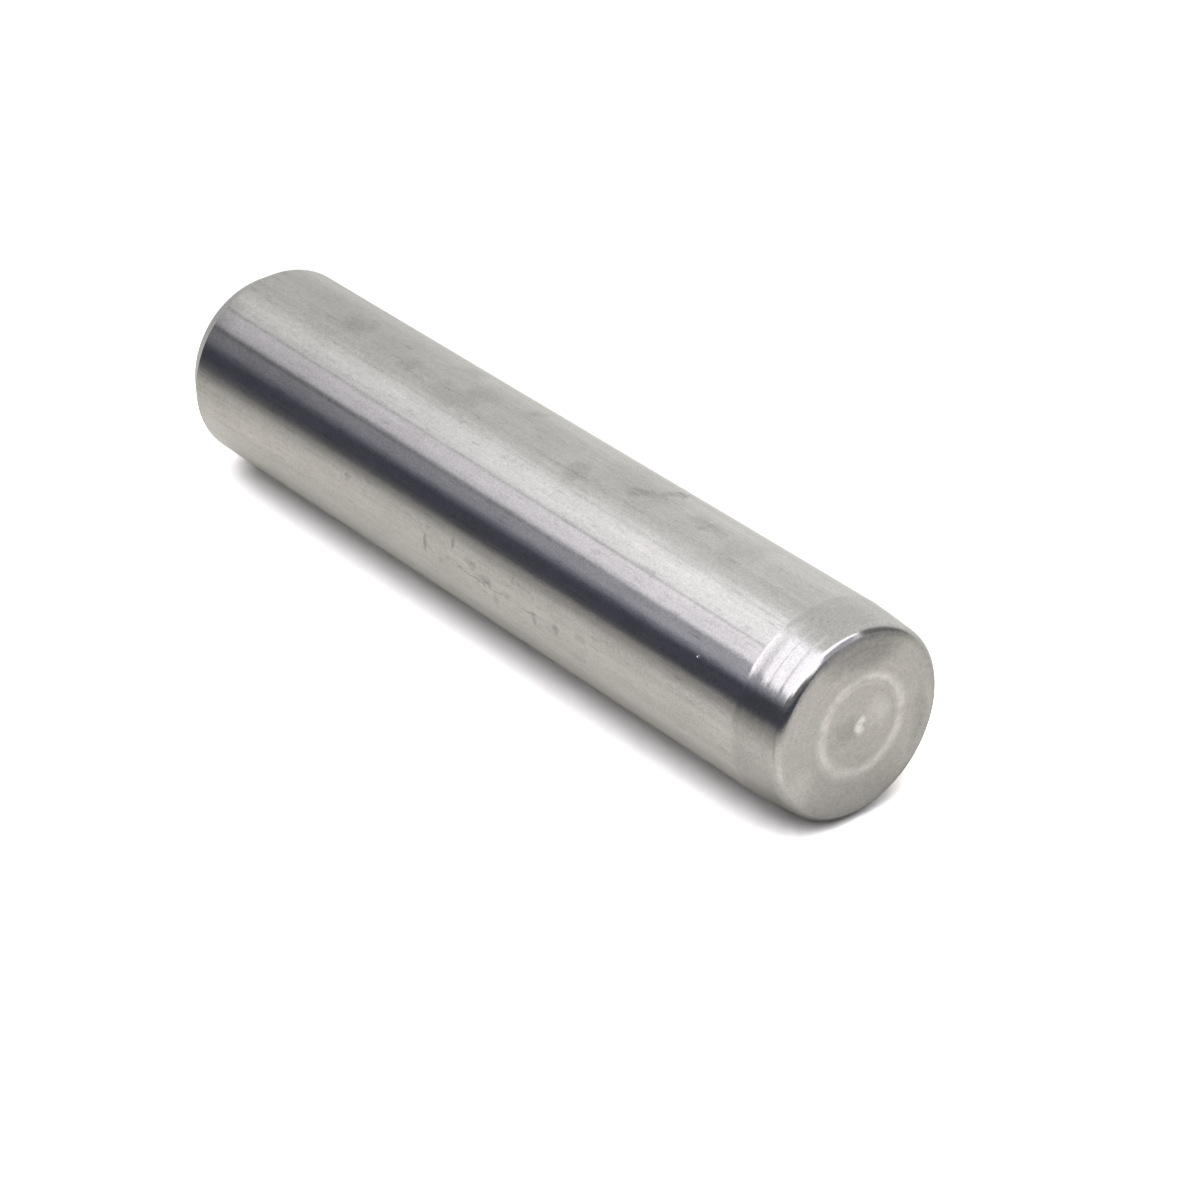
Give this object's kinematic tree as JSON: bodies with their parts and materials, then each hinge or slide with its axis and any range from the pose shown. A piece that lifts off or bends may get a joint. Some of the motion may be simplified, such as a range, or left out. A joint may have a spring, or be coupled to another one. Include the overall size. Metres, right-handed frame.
{
  "type": "guide pin",
  "caption": "Ground cylindrical guide pin with a tapered lead-in, a rounded rim and a flat turned face at the lead end, and a bevelled flat rear end.",
  "frame": {"origin": "centre of the flat rear face, on which the pin stands", "axes": "+Z along the pin's axis, from the rear face towards the lead end"},
  "size_m": [0.01, 0.01, 0.045],
  "materials": {
    "ground_steel": "centreless ground shank with fine lengthwise lines, turned lead-in and faces"
  },
  "bodies": {
    "root": {"guide_pin": "ground_steel"}
  },
  "joints": []
}
